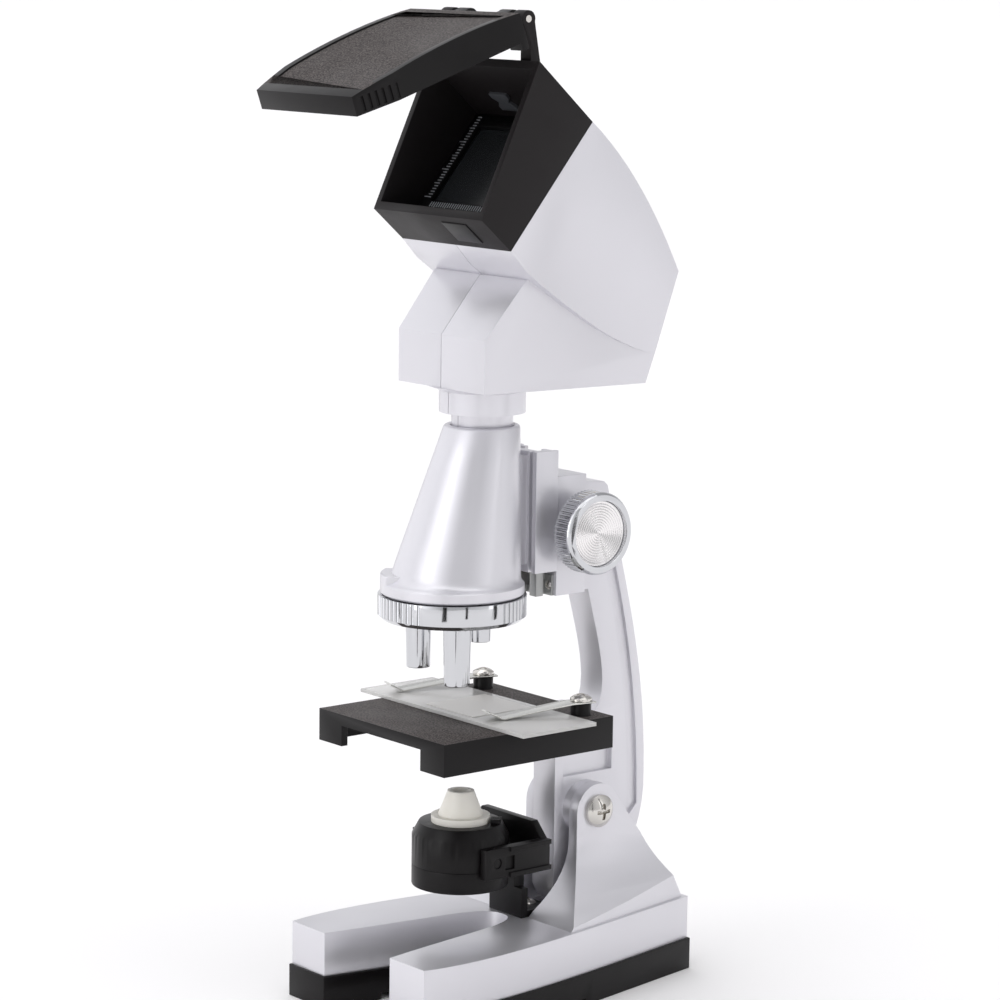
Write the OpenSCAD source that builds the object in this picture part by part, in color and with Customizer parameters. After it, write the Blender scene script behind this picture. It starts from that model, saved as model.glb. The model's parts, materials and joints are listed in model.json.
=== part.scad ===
// Toy projection microscope: horseshoe base, tilting arm, stage, rack-focused tube, three-lens
// turret and a swivelling viewer with a projection screen. Millimetres, +Z up, -Y is the front and
// Z = 0 is the table. The modules are drawn with the optical axis at X = 0, Y = 0, and place()
// then moves them all so that the footprint is centred on the origin.

/* [Base] */
// Height of the leg tops above the table
base_top = 22.5; // [21:0.5:23]
// Height of the black bottom cover
cover_h = 9.5; // [8:0.5:11]
// Half width across the legs at the front
leg_outer = 31.3; // [30:0.1:33]
// Half width of the gap between the legs at the front
leg_inner = 15.5; // [14:0.5:17]
// Y of the front ends of the legs
base_front = -44; // [-48:1:-42]
// Y of the back of the base
base_back = 66.8; // [64:0.2:70]
// Half width of the two arm cheeks
cheek_out = 11.8; // [11.4:0.1:12.6]
// Half width of the slot between the cheeks
cheek_in = 8.1; // [8.05:0.05:8.3]

/* [Arm] */
// Y of the tilt screw
pivot_y = 36.5; // [36:0.1:37]
// Height of the tilt screw
pivot_z = 52.3; // [51.5:0.1:53]
// Half thickness of the arm
arm_half = 4.9; // [4.4:0.1:5.4]
// Half width of the head block
head_half = 8; // [7.8:0.1:8.2]
// Bottom of the head block and guide
head_z0 = 118.1; // [116:0.1:119]
// Top of the head block and guide
head_z1 = 153.3; // [150:0.1:155]

/* [Stage] */
// Half width of the stage
stage_half = 29.35; // [28:0.05:31]
// Height of the stage top
stage_top = 85.6; // [85:0.1:86]
// Depth of the stage skirt
stage_deep = 9.4; // [8.6:0.1:9.6]
// Half distance between the clip screws
clip_x = 22.5; // [20:0.5:24]
// Y of the clip screws
clip_y = 19.8; // [19:0.1:20.5]

/* [Focus] */
// Pitch radius of the pinion
pinion_r = 4.8; // [4.8:0.1:4.8]
// Number of pinion teeth
pinion_n = 12; // [12:1:12]
// Height of the focus shaft
focus_z = 137.8; // [136:0.1:139]
// Radius of the focus knobs
knob_r = 12.1; // [10:0.1:12.5]
// Thickness of a focus knob
knob_t = 7; // [5.5:0.1:8]

/* [Tube and turret] */
// Radius of the tube top
tube_top_r = 11; // [10.5:0.1:11.5]
// Height of the tube top
tube_top_z = 169.6; // [168:0.1:171]
// Radius of the tube flange
flange_r = 20.8; // [20:0.1:21]
// Radius of the turret
turret_r = 21.5; // [21:0.1:22]
// Height of the turret underside
turret_z0 = 114.3; // [113.5:0.1:115]
// Height of the turret top
turret_z1 = 121.3; // [120.5:0.1:121.3]
// Distance of each objective from the turret axis
objective_pitch = 10.35; // [10.35:0.05:10.35]
// Height of the short objective's tip
short_tip = 106.1; // [105:0.1:108]
// Height of the medium objective's tip
medium_tip = 99; // [98:0.1:101]
// Height of the long objective's tip
long_tip = 96.5; // [96.5:0.1:98]

/* [Viewer] */
// Half width of the upper housing and hood
view_half = 24.6; // [23:0.1:25]
// Half width of the lower block at its front
block_half = 19.6; // [18.5:0.1:20]
// Radius of the collar above the tube
collar_r = 12.5; // [12:0.1:13]
// Wall of the viewer shells
shell_wall = 2.2; // [1.8:0.1:2.6]

/* [Lid] */
// Height of the lid hinge
hinge_z = 285.4; // [285:0.1:286]
// Downward slope of the open lid
lid_angle = 19.4; // [15:0.1:25]
// Length of the lid plate
lid_len = 59.8; // [56:0.1:60]

/* [Lamp] */
// Radius of the lamp housing
lamp_r = 14.2; // [13.6:0.1:14.4]
// Y of the lamp's vertical axis
lamp_y = -6.4; // [-7:0.1:-6]
// Height of the lamp pivot
lamp_z = 44.1; // [44:0.1:44.4]

/* [Hidden] */
$fn = 64;

silver = "gainsboro";
black = "dimgray";
e = 0.05;                      // running clearance
focus_y = 27.4;                // Y of the focus shaft
turret_y = -objective_pitch;   // Y of the turret axis
rail_y0 = 16.4;                // front of the guide's wide part
rail_y1 = 19;                  // back of the guide's wide part
car_y0 = 13.4;                 // front of the carriage
car_y1 = 21.7;                 // back of the carriage
car_z0 = 125.6;                // bottom of the carriage
car_z1 = 161.2;                // top of the carriage
car_half = 8.6;                // half width of the carriage
block_z = 181.2;               // underside of the lower block
lamp_bottom = 34.8;
lamp_seam = 41.2;
lamp_top = 53.4;
slide_z = stage_top + e;       // underside of the specimen slide
slide_t = 1.1;                 // thickness of a standard slide
post_top = stage_top + 3.6;    // top of the clip posts
// Corners of the hood seen from the side, as [y, z]
hood_a = [-20.9, 230.6];       // face, bottom
hood_b = [-0.9, 273.9];        // face, top
hood_c = [18.8, 256.8];        // back edge, top
hood_d = [-10.4, 221.6];       // back edge, bottom

// The footprint box is centred on the row's origin, which is this far behind the optical axis
frame_y = 2.7;
module place() translate([0, -frame_y, 0]) children();

function mix(a, b, t) = a * (1 - t) + b * t;
function bez(a, b, c, d, n) = [for (i = [0:n]) let (t = i / n, s = 1 - t)
    s * s * s * a + 3 * s * s * t * b + 3 * s * t * t * c + t * t * t * d];
function arc(c, r, a0, a1, n) = [for (i = [0:n]) let (a = a0 + (a1 - a0) * i / n)
    c + r * [cos(a), sin(a)]];
function flip(pts) = [for (i = [len(pts) - 1:-1:0]) [-pts[i][0], pts[i][1]]];
function shift(pts, v) = [for (p = pts) p + v];
function rev(pts) = [for (i = [len(pts) - 1:-1:0]) pts[i]];

// A profile of [y, z] points, extruded across X from x0 to x1
module across(x0, x1) {
    translate([x0, 0, 0]) rotate([90, 0, 90]) linear_extrude(x1 - x0) children();
}
// A round bar along X
module bar_x(r, x0, x1, y, z, n = 64) {
    translate([x0, y, z]) rotate([0, 90, 0]) cylinder(r = r, h = x1 - x0, $fn = n);
}
// A round bar along Z
module bar_z(r, z0, z1, x = 0, y = 0, n = 64) {
    translate([x, y, z0]) cylinder(r = r, h = z1 - z0, $fn = n);
}
// A domed screw pointing down, with its head resting on z = 0
module screw(head_r, head_h, shank_r, length) {
    difference() {
        intersection() {
            cylinder(r = head_r, h = head_h);
            translate([0, 0, head_h - head_r * 1.5]) sphere(r = head_r * 1.5, $fn = 48);
        }
        for (a = [0, 90]) rotate([0, 0, a])
            translate([-head_r * 0.5, -head_r * 0.11, head_h * 0.45])
                cube([head_r, head_r * 0.22, head_h]);
    }
    translate([0, 0, -length]) cylinder(r = shank_r, h = length + 0.01);
}

// ---- base ----
// Half of the horseshoe outline, shrunk by d: the inner edge, then the outer edge
function base_half_outline(d) = concat(
    rev(bez([leg_inner + d, base_front + d], [8.2 + d, -6], [10 + d, 10 + d], [0, 10 + d], 12)),
    bez([leg_outer - d, base_front + d], [36.5 - d, -22], [29.5 - d, 12],
        [19 - d, base_back - d], 16));
function base_outline(d) = let (h = base_half_outline(d))
    concat(h, [for (i = [len(h) - 1:-1:1]) [-h[i][0], h[i][1]]]);
// How far the cheeks have flared at height z, from 0 at the top to 1 at the leg tops
function flare(z) = z > 45 ? 0 : pow((45 - z) / (45 - base_top), 2.4);
flare_z = concat([62], [for (i = [0:9]) mix(45, base_top - 1, i / 9)]);

module cheeks() {
    side = concat([for (z = rev(flare_z)) [28.3 - 16.3 * flare(max(z, base_top)), min(z, 52.3)]],
        arc([pivot_y, pivot_z], 8.2, 180, 50, 10), [[53.5, 43], [base_back - 1, base_top - 1]]);
    front = [for (z = flare_z) [cheek_out + 18 * flare(max(z, base_top)), z]];
    difference() {
        intersection() {
            across(-40, 40) polygon(side);
            translate([0, 80, 0]) rotate([90, 0, 0]) linear_extrude(160)
                polygon(concat(front, flip(front)));
            linear_extrude(80) polygon(base_outline(1.2));
        }
        translate([-cheek_in, 0, base_top]) cube([2 * cheek_in, 90, 60]);
    }
}
cover_screw_at = [[23, -36], [-23, -36], [13, 56], [-13, 56]];
module base_shell() color(silver) difference() {
    union() {
        translate([0, 0, cover_h]) linear_extrude(base_top - cover_h) polygon(base_outline(0));
        cheeks();
    }
    difference() {
        translate([0, 0, cover_h - 1]) linear_extrude(base_top - cover_h - 1.4)
            polygon(base_outline(2.3));
        for (p = cover_screw_at) bar_z(4, 0, 40, p[0], p[1], 32);
        bar_z(4, 0, 40, 0, 19, 32);
    }
    for (p = cover_screw_at) bar_z(1.5, 0, base_top - 3, p[0], p[1], 32);
    bar_z(1.6, 12, 40, 0, 19, 32);
    bar_x(2 + e, -40, 40, pivot_y, pivot_z);
}
module base_cover() color("darkslategray") difference() {
    linear_extrude(cover_h) polygon(base_outline(-0.7));
    translate([0, 0, 2.4]) linear_extrude(cover_h) difference() {
        polygon(base_outline(2));
        for (p = cover_screw_at) translate(p) circle(r = 4, $fn = 32);
    }
    for (p = cover_screw_at) {
        bar_z(1.7, -1, 20, p[0], p[1], 32);
        bar_z(3.4, -1, 2.6, p[0], p[1], 32);
    }
    // Raised arches between the feet
    translate([-60, -26, -1]) cube([120, 44, 3]);
}
module cover_screws() color("silver") for (p = cover_screw_at)
    translate([p[0], p[1], 2.6]) mirror([0, 0, 1]) screw(3, 1.6, 1.4, 12);
module tilt_screw() color("silver") translate([cheek_out, pivot_y, pivot_z])
    rotate([0, 90, 0]) screw(4.9, 3, 2, 29);
module tilt_nut() color("silver") difference() {
    bar_x(4.2, -cheek_out - 3.4, -cheek_out, pivot_y, pivot_z, 6);
    bar_x(2, -cheek_out - 4, -cheek_out + 1, pivot_y, pivot_z);
}

// ---- lamp bracket ----
fork_in = lamp_r + 0.5;
fork_out = lamp_r + 3.1;
bridge_y = 10.9;
module lamp_bracket() color(black) difference() {
    union() {
        // Two arms, joined behind the lamp by a bridge
        for (s = [-1, 1]) translate([s > 0 ? fork_in : -fork_out, lamp_y - 4.2, lamp_z - 4.6])
            cube([fork_out - fork_in, bridge_y + 2.4 - lamp_y + 4.2, 9]);
        translate([0, bridge_y + 2.4, 0]) rotate([90, 0, 0]) linear_extrude(2.4)
            polygon([[-fork_out, lamp_z - 4.6], [fork_out, lamp_z - 4.6], [fork_out, lamp_z + 3],
                [11.5, 53], [-11.5, 53], [-fork_out, lamp_z + 3]]);
        // Post and foot
        translate([-4, bridge_y, base_top]) cube([8, 3.8, lamp_z - base_top]);
        translate([-7.5, bridge_y + 1, base_top]) cube([15, 11, 2]);
        translate([-7.5, bridge_y, base_top]) cube([15, 2.4, 9]);
        // Ribs on the outside of the arms
        for (s = [-1, 1], z = [-4.6, 3]) translate([s > 0 ? fork_out : -fork_out - 0.8, -2, lamp_z + z])
            cube([0.8, bridge_y + 4.4, 1.4]);
    }
    bar_x(1.5 + e, -30, 30, lamp_y, lamp_z, 32);
    bar_z(1.7, 20, 30, 0, 19, 32);
    // Socket in the outside of each arm
    for (s = [-1, 1]) translate([s > 0 ? fork_out - 1 : -fork_out - 1, -3.4, lamp_z - 2.4])
        cube([2, 3.4, 4]);
}
module bracket_screw() color("silver") translate([0, 19, base_top + 2]) screw(3, 1.3, 1.4, 8);

// ---- arm ----
function arm_back() = concat(
    bez([44.6, 146.5], [50.5, 122], [60.5, 95], [60.5, 60], 14),
    bez([60.5, 60], [61.5, 44], [53, 27], [38, 24.4], 10));
function arm_front() = concat([[27.5, 24.4], [25.3, 28.5], [25.3, 78.9], [35, 78.9]],
    bez([36, 79], [41, 79.4], [43.4, 83], [43.2, 90], 5),
    bez([43, 93], [42.2, 101], [39, 110], [37, head_z0], 8));
module arm() color(silver) difference() {
    union() {
        across(-arm_half, arm_half) polygon(concat(arm_front(), [[30, head_z0], [30, 151],
            [42.6, 149.8], [44, 148.6]], arm_back()));
        translate([-head_half, 22, head_z0]) cube([2 * head_half, 11, head_z1 - head_z0]);
        bar_x(8, -cheek_in + 0.1, cheek_in - 0.1, pivot_y, pivot_z);
        bar_x(5.5, -13.9, 13.9, focus_y, focus_z);
        // Tongue that carries the stage
        translate([-arm_half, 6, stage_top - 6.4]) cube([2 * arm_half, 22, 3.9]);
        translate([-arm_half, 25.3, stage_top - 9]) cube([2 * arm_half, 10.7, 6.5]);
    }
    bar_x(2 + e, -20, 20, pivot_y, pivot_z);
    // Shaft bore and the cavity around the pinion
    bar_x(2 + e, -20, 20, focus_y, focus_z);
    bar_x(6.2, -3.4, 3.4, focus_y, focus_z);
    translate([-2.8, 21, head_z0 - 1]) cube([5.6, 3.2, head_z1 - head_z0 + 2]);
    for (s = [-1, 1]) {
        // Recessed panel below the stage and the long groove along the back
        translate([s > 0 ? arm_half - 2 : -arm_half - 1, 28.6, 62.2]) cube([3, 18.9, 12.8]);
        across(s > 0 ? arm_half - 1.2 : -arm_half - 1, s > 0 ? arm_half + 1 : -arm_half + 1.2)
            polygon(concat([[53.6, 45.6]],
                shift(rev(bez([45.6, 142], [50.8, 121], [60.5, 95], [60.5, 54], 12)), [-6.9, 0]),
                shift(bez([45.6, 142], [50.8, 121], [60.5, 95], [60.5, 50], 12), [-2.7, 0])));
        bar_z(1.2, stage_top - 12, stage_top, 0, s > 0 ? 20 : 11, 32);
        for (z = [head_z0 + 3, head_z1 - 3]) translate([s * 5.2, 0, z]) rotate([-90, 0, 0])
            bar_z(1, 20, 30, 0, 0, 24);
    }
}
module slide_guide() color("darkgray") difference() {
    union() {
        for (s = [-1, 1]) translate([s > 0 ? 2.6 : -5.6, rail_y0, head_z0])
            cube([3, rail_y1 - rail_y0, head_z1 - head_z0]);
        for (s = [-1, 1]) translate([s > 0 ? 2.6 : -3.6, rail_y1 - 0.1, head_z0])
            cube([1, 22 - rail_y1 + 0.1, head_z1 - head_z0]);
        // Feet that hold the rails to the head block
        translate([-3.6, 19.6, head_z0]) cube([7.2, 2.4, 2.2]);
        for (s = [-1, 1], z = [head_z0, head_z1 - 6])
            translate([s > 0 ? 2.6 : -6.8, 21.2, z]) cube([4.2, 0.8, 6]);
    }
    for (s = [-1, 1], z = [head_z0 + 3, head_z1 - 3])
        translate([s * 5.2, 0, z]) rotate([-90, 0, 0]) bar_z(1.05, 21, 30, 0, 0, 24);
}
module guide_screws() color("silver") for (s = [-1, 1], z = [head_z0 + 3, head_z1 - 3])
    translate([s * 5.2, 21.2, z]) rotate([90, 0, 0]) screw(1.5, 0.5, 0.9, 6);

// ---- stage ----
module stage() color(black) difference() {
    union() {
        translate([-stage_half, -36, stage_top - stage_deep])
            cube([2 * stage_half, 62.4, stage_deep]);
        for (s = [-1, 1]) bar_z(3, stage_top - 4, post_top, s * clip_x, clip_y, 48);
    }
    // Hollow underside, with two posts kept for the clip screws
    difference() {
        translate([-stage_half + 2.2, -33.8, stage_top - stage_deep - 1])
            cube([2 * stage_half - 4.4, 58, stage_deep - 1.4]);
        for (s = [-1, 1]) bar_z(3, stage_top - stage_deep, stage_top, s * clip_x, clip_y, 48);
    }
    // Front notch and the gap in the back wall for the arm's tongue
    translate([-18.4, -40, stage_top - stage_deep - 1]) cube([36.8, 10, stage_deep - 2.3]);
    translate([-arm_half - 0.1, 20, stage_top - stage_deep - 1])
        cube([2 * arm_half + 0.2, 10, stage_deep - 1.4]);
    bar_z(5, stage_top - 4, stage_top + 1);
    for (s = [-1, 1]) bar_z(1.5, stage_top - 7, post_top + 1, s * clip_x, clip_y, 32);
    for (y = [11, 20]) bar_z(1.1, stage_top - 4, stage_top - 0.8, 0, y, 32);
}
module stage_screws() color("silver") for (y = [11, 20])
    translate([0, y, stage_top - 6.4]) mirror([0, 0, 1]) screw(2.4, 1.3, 1, 5.2);
module clip_screws() color("silver") for (s = [-1, 1])
    translate([s * clip_x, clip_y, post_top + 0.7]) screw(3.2, 2, 1.45, 8);
// A spring clip lying along -Y from its screw: flat back, sloping spring, upturned tip
module clip(turn) difference() {
    rotate([0, 0, turn]) across(-2.8, 2.8) polygon([[3.6, 0.1], [3.6, 0.6], [-4, 0.6],
        [-26.6, -1.75], [-30.6, 0.35], [-30.9, -0.1], [-26.7, -2.25], [-4, 0.1]]);
    bar_z(1.5, -3, 3, 0, 0, 32);
}
module clip_left() color("silver") translate([-clip_x, clip_y, post_top]) clip(-16);
module clip_right() color("silver") translate([clip_x, clip_y, post_top]) clip(-12);
module specimen_slide() color("lightcyan") translate([-39.5, -13.4, slide_z])
    cube([76, 27.2, slide_t]);
module cover_slip() color("azure") translate([-11, -11, slide_z + slide_t]) cube([22, 22, 0.17]);

// ---- tube ----
module tube_disc(r, y, z) translate([0, y, z]) cylinder(r = r, h = 0.01, $fn = 40);
module body_tube() color(silver) difference() {
    union() {
        hull() {
            tube_disc(tube_top_r, 0, tube_top_z - 0.01);
            tube_disc(18, -8.2, 131);
        }
        hull() {
            tube_disc(18, -8.2, 131);
            tube_disc(19, -9.2, 127);
        }
        hull() {
            tube_disc(19, -9.2, 127);
            tube_disc(flange_r, turret_y, 124.8);
        }
        bar_z(flange_r, 121.6, 124.8, 0, turret_y, 72);
        // Raised index pad on the front left of the flange
        intersection() {
            bar_z(flange_r, 123, 127.4, 0, turret_y, 72);
            translate([-12, turret_y - 16, 123]) rotate([0, 0, 40]) cube([14, 14, 9], center = true);
        }
        // Rib that the carriage is screwed to
        translate([-4.5, 6, 128]) cube([9, car_y0 - 6, 32]);
    }
    hull() {
        tube_disc(tube_top_r - 1.8, 0, tube_top_z + 0.1);
        tube_disc(16.2, -8.2, 131);
        tube_disc(16.6, -8.6, 124);
    }
    bar_z(4.5, 120, 126);
    bar_z(1.3, 120, 126, 0, turret_y, 32);
    for (z = [133, 155]) translate([0, 0, z]) rotate([-90, 0, 0]) bar_z(1.1, 7, 20, 0, 0, 24);
    // Pocket for the detent spring
    translate([11, turret_y - 3, 121]) cube([6.5, 6, 1.8]);
}
module carriage() color(silver) difference() {
    translate([-car_half, car_y0, car_z0]) cube([2 * car_half, car_y1 - car_y0, car_z1 - car_z0]);
    translate([-5.75, rail_y0 - 0.15, car_z0 - 1])
        cube([11.5, rail_y1 - rail_y0 + 0.3, car_z1 - car_z0 + 2]);
    translate([-3.75, rail_y1, car_z0 - 1]) cube([7.5, 5, car_z1 - car_z0 + 2]);
    // The lips are relieved where they pass the guide's feet
    for (s = [-1, 1]) translate([s > 0 ? 3 : -7.2, 20.5, car_z0 - 1])
        cube([4.2, 2, car_z1 - car_z0 + 2]);
    // Two vertical grooves down the front
    for (s = [-1, 1]) translate([s * 6.2 - 0.8, car_y0 - 1, car_z0 - 1]) cube([1.6, 2.2, 40]);
    for (z = [133, 155]) translate([0, 0, z]) rotate([-90, 0, 0]) {
        bar_z(1.3, 10, 20, 0, 0, 24);
        bar_z(2.4, 14.8, 20, 0, 0, 24);
    }
}
tooth = PI * 2 * pinion_r / pinion_n;
function rack_teeth(z0, n) = [for (i = [0:n - 1]) each [
    [focus_y - pinion_r - 0.75, z0 + i * tooth - 0.75], [focus_y - pinion_r + 0.6, z0 + i * tooth - 0.3],
    [focus_y - pinion_r + 0.6, z0 + i * tooth + 0.3], [focus_y - pinion_r - 0.75, z0 + i * tooth + 0.75]]];
module rack() color("darkkhaki") {
    across(-2.2, 2.2) polygon(concat([[rail_y0 - 0.15, focus_z - 4 * tooth - 1.2],
        [focus_y - pinion_r - 0.75, focus_z - 4 * tooth - 1.2]], rack_teeth(focus_z - 4 * tooth, 13),
        [[focus_y - pinion_r - 0.75, focus_z + 8 * tooth + 1.2],
        [rail_y0 - 0.15, focus_z + 8 * tooth + 1.2]]));
}
module carriage_screws() color("silver") for (z = [133, 155])
    translate([0, 14.8, z]) rotate([-90, 0, 0]) screw(2.2, 1.3, 1, 7);
module turret_screw() color("silver") translate([0, turret_y, turret_z0 + 1])
    mirror([0, 0, 1]) screw(3.2, 1.6, 1.25, 10);
module detent_spring() color("darkgray") {
    translate([11.2, turret_y - 2.6, 122.2]) cube([6, 5.2, 0.4]);
    translate([16, turret_y, 0]) {
        bar_z(0.9, 121.3, 122.3, 0, 0, 24);
        translate([0, 0, 121.35]) sphere(r = 0.9, $fn = 24);
    }
}

// ---- focus ----
module pinion_shaft() color("silver") difference() {
    bar_x(2, -knob_x - 5, knob_x + 5, focus_y, focus_z);
    for (s = [-1, 1]) translate([s > 0 ? knob_x - 0.1 : -knob_x - 5.1, focus_y - 3, focus_z + 1.4])
        cube([5.2, 6, 3]);
}
// Outline of the pinion about its own axis; a gap between teeth faces the rack
function pinion_tooth(a) = [for (p = [[3.8, -0.95], [pinion_r, -0.52], [pinion_r + 0.55, -0.25],
    [pinion_r + 0.55, 0.25], [pinion_r, 0.52], [3.8, 0.95]])
    [p[0] * cos(a) - p[1] * sin(a), p[0] * sin(a) + p[1] * cos(a)]];
module pinion() color("darkkhaki") translate([0, focus_y, focus_z]) difference() {
    across(-2.6, 2.6)
        polygon([for (i = [0:pinion_n - 1]) each pinion_tooth((i + 0.5) * 360 / pinion_n)]);
    bar_x(2, -5, 5, 0, 0);
}
knob_x = 14.5;
flutes = 60;
// A knob on the +X side: fluted rim, dished face and a bore with a flat
module knob() difference() {
    union() {
        translate([knob_x, 0, 0]) rotate([0, 90, 0]) difference() {
            cylinder(r = knob_r, h = knob_t - 1, $fn = 96);
            for (i = [0:flutes - 1]) rotate([0, 0, i * 360 / flutes])
                translate([knob_r + 0.15, 0, -1]) cylinder(r = 0.45, h = knob_t - 0.6, $fn = 16);
        }
        translate([knob_x + knob_t - 1.01, 0, 0]) rotate([0, 90, 0])
            cylinder(r1 = knob_r, r2 = knob_r - 0.7, h = 1.01, $fn = 96);
    }
    bar_x(knob_r - 2.4, knob_x + knob_t - 1.7, knob_x + knob_t + 1, 0, 0, 96);
    difference() {
        bar_x(2.02, knob_x - 1, knob_x + 5.1, 0, 0);
        translate([knob_x, -3, 1.45]) cube([6, 6, 3]);
    }
    difference() {
        bar_x(knob_r - 2.6, knob_x - 1, knob_x + 2.4, 0, 0);
        bar_x(4.5, knob_x - 2, knob_x + 3, 0, 0);
    }
}
module knob_disc() bar_x(knob_r - 2.5, knob_x + knob_t - 1.7, knob_x + knob_t - 1.1, 0, 0, 96);
module knob_right() color("silver") translate([0, focus_y, focus_z]) knob();
module knob_left() color("silver") mirror([1, 0, 0]) translate([0, focus_y, focus_z]) knob();
module knob_disc_right() color("whitesmoke") translate([0, focus_y, focus_z]) knob_disc();
module knob_disc_left() color("whitesmoke") mirror([1, 0, 0])
    translate([0, focus_y, focus_z]) knob_disc();

// ---- turret ----
function on_turret(a) = [objective_pitch * cos(a), turret_y + objective_pitch * sin(a)];
short_at = on_turret(90);
medium_at = on_turret(210);
long_at = on_turret(330);
module turret() color("silver") difference() {
    union() {
        translate([0, turret_y, turret_z0]) cylinder(r1 = turret_r - 1.2, r2 = turret_r, h = 1.2, $fn = 96);
        bar_z(turret_r, turret_z0 + 1.19, turret_z1, 0, turret_y, 96);
    }
    for (p = [short_at, medium_at, long_at]) bar_z(3, turret_z0 - 1, turret_z1 + 1, p[0], p[1], 40);
    bar_z(1.25 + e, turret_z0 - 1, turret_z1 + 1, 0, turret_y, 32);
    bar_z(3.5, turret_z0 - 1, turret_z0 + 1, 0, turret_y, 40);
    // Ribbed grips around the rim, in three groups
    for (g = [0:2], i = [-5:5]) translate([0, turret_y, 0]) rotate([0, 0, g * 120 + 30 + i * 5])
        bar_z(0.5, turret_z0 + 1.2, turret_z1 + 1, turret_r + 0.2, 0, 16);
    // Detent track, deeper where an objective is on the axis
    difference() {
        bar_z(17.4, turret_z1 - 1.1, turret_z1 + 1, 0, turret_y);
        bar_z(14.6, turret_z1 - 2, turret_z1 + 2, 0, turret_y);
    }
    for (a = [0, 120, 240]) translate([0, turret_y, 0]) rotate([0, 0, a])
        bar_z(1.3, turret_z1 - 1.6, turret_z1, 16, 0, 24);
}
module objective(at, tip, r0, r1) color("silver") translate([at[0], at[1], 0]) difference() {
    union() {
        translate([0, 0, tip]) cylinder(r1 = r1, r2 = r0, h = turret_z0 - tip, $fn = 48);
        bar_z(2.95, turret_z0 - 0.1, turret_z1 - 1.4);
    }
    bar_z(1.9, tip - 1, turret_z1);
    bar_z(2.4, tip - 1, tip + 1.6);
}
module objective_short() objective(short_at, short_tip, 3.3, 3.1);
module objective_medium() objective(medium_at, medium_tip, 3.8, 3.45);
module objective_long() objective(long_at, long_tip, 4.05, 3.7);
module objective_lenses() color("lightblue") {
    bar_z(2.4, short_tip + 0.4, short_tip + 1.6, short_at[0], short_at[1]);
    bar_z(2.4, medium_tip + 0.4, medium_tip + 1.6, medium_at[0], medium_at[1]);
    bar_z(2.4, long_tip + 0.4, long_tip + 1.6, long_at[0], long_at[1]);
}

// ---- viewer ----
// Side outline of the upper housing, as [y, z]
function housing() = concat([hood_d, hood_c], bez(hood_c, [33, 245.5], [44, 230], [52.6, 213], 12),
    bez([43.9, 189.5], [30, 192.5], [14, 202], [-4.9, 215.8], 10));
function toward(pts, c, k) = [for (p = pts) c + (p - c) * k];
// Side outline of the lower block and its outline from above
block_side = [[-15.3, block_z], [-15.3, 196.5], [-1.6, 212.7], [20, 218], [52.4, 212.5],
    [40.8, block_z]];
block_plan = [[-block_half, -15.3], [block_half, -15.3], [view_half, 44], [view_half, 60],
    [-view_half, 60], [-view_half, 44]];
shell_screw_at = [[36.5, 186], [-11, 187], [44, 214], [22, 244]];
module viewer_solid() {
    across(-view_half, view_half) polygon(housing());
    intersection() {
        across(-40, 40) polygon(block_side);
        linear_extrude(300) polygon(block_plan);
    }
    translate([0, 0, 179.6]) cylinder(r1 = collar_r, r2 = 16.4, h = 1.61);
    bar_z(collar_r, 173.4, 179.7);
    bar_z(8.9, 167, 173.5);
}
module viewer_hollow() {
    inner = view_half - shell_wall;
    across(-inner, inner) polygon(toward(housing(), [19, 222], 0.92));
    // Opening behind the hood
    across(-inner, inner) polygon([mix(hood_d, hood_c, 0.06), mix(hood_d, hood_c, 0.94),
        mix(hood_d, hood_c, 0.94) + [-4, 3.3], mix(hood_d, hood_c, 0.06) + [-4, 3.3]]);
    across(-inner, inner) polygon([mix(hood_d, hood_c, 0.06), mix(hood_d, hood_c, 0.94),
        [22, 248], [0, 220]]);
    intersection() {
        across(-40, 40) polygon(toward(block_side, [16, 199], 0.9));
        linear_extrude(300) polygon([[-block_half + shell_wall, -13.1],
            [block_half - shell_wall, -13.1], [view_half - shell_wall, 41],
            [-view_half + shell_wall, 41]]);
    }
    bar_z(7, 160, 190);
}
module viewer_shell(s) difference() {
    intersection() {
        difference() {
            viewer_solid();
            difference() {
                viewer_hollow();
                for (p = shell_screw_at) bar_x(3, -30, 30, p[0], p[1], 32);
            }
        }
        translate([s > 0 ? 0.1 : -60.1, -50, 150]) cube([60, 150, 150]);
    }
    for (p = shell_screw_at) {
        bar_x(1.3, -30, 13, p[0], p[1], 24);
        bar_x(2.8, -30, -14.6, p[0], p[1], 32);
    }
    // The lens and its ring sit in a seat above the collar
    bar_z(8.05, 176, 180.6);
}
module shell_left() color(silver) viewer_shell(-1);
module shell_right() color(silver) viewer_shell(1);
module shell_screws() color("silver") for (p = shell_screw_at)
    translate([-14.6, p[0], p[1]]) rotate([0, -90, 0]) screw(2.6, 1.5, 1.2, 24);
module projection_lens() color("lightblue") intersection() {
    bar_z(8, 176, 179.4);
    translate([0, 0, 176 - 18 + 3.4]) sphere(r = 18, $fn = 64);
}
module lens_retainer() color(black) difference() {
    bar_z(8, 179.4, 180.6);
    bar_z(6, 179, 181);
}
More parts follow.
